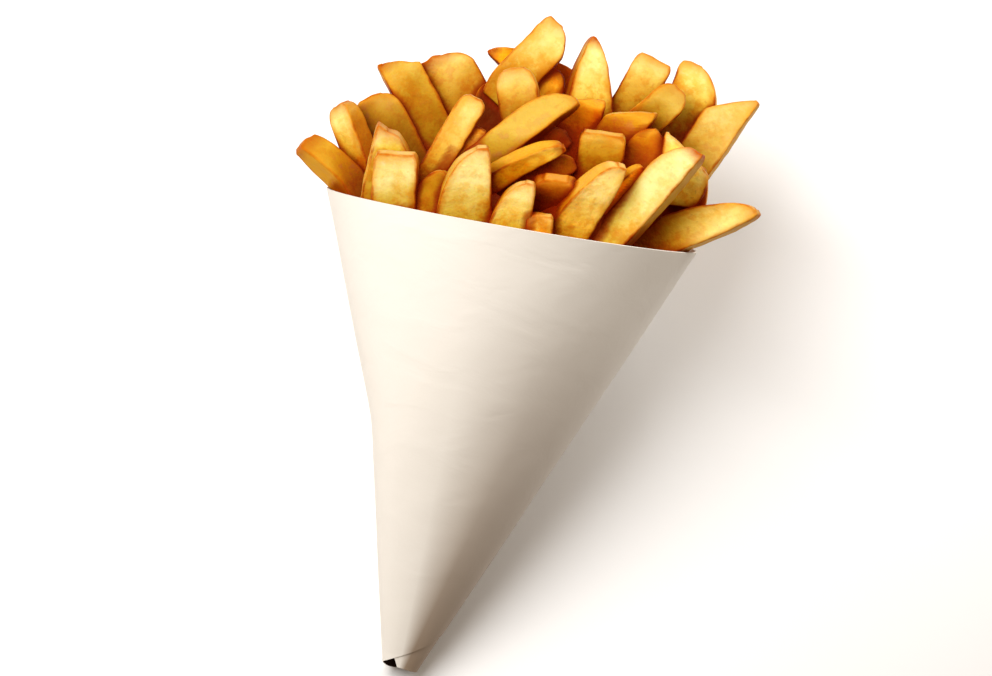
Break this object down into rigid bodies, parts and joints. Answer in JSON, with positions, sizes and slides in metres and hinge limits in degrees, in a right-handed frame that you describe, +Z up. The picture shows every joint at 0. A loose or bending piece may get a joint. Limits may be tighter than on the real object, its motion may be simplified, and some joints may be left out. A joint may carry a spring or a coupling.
{
  "type": "paper cone of fries",
  "caption": "Rolled cream paper cone filled with thick-cut fries that fan out over its slanted mouth, lying on its back.",
  "frame": {"origin": "on the resting plane, in the middle of the flattened strip along the back of the paper, about 127 mm up the strip from the tip", "axes": "+Z up, away from the surface that the cone lies on; +Y along the resting strip from the tip to the mouth; +X to the right as seen from above with the mouth away from the eye"},
  "size_m": [0.1619, 0.2286, 0.122],
  "materials": {
    "paper": "uncoated cream paper, matt",
    "fried_potato": "fried potato, pale yellow faces with browned edges, slightly oily"
  },
  "bodies": {
    "root": {"paper_cone": "paper", "fries": "fried_potato"}
  },
  "joints": []
}
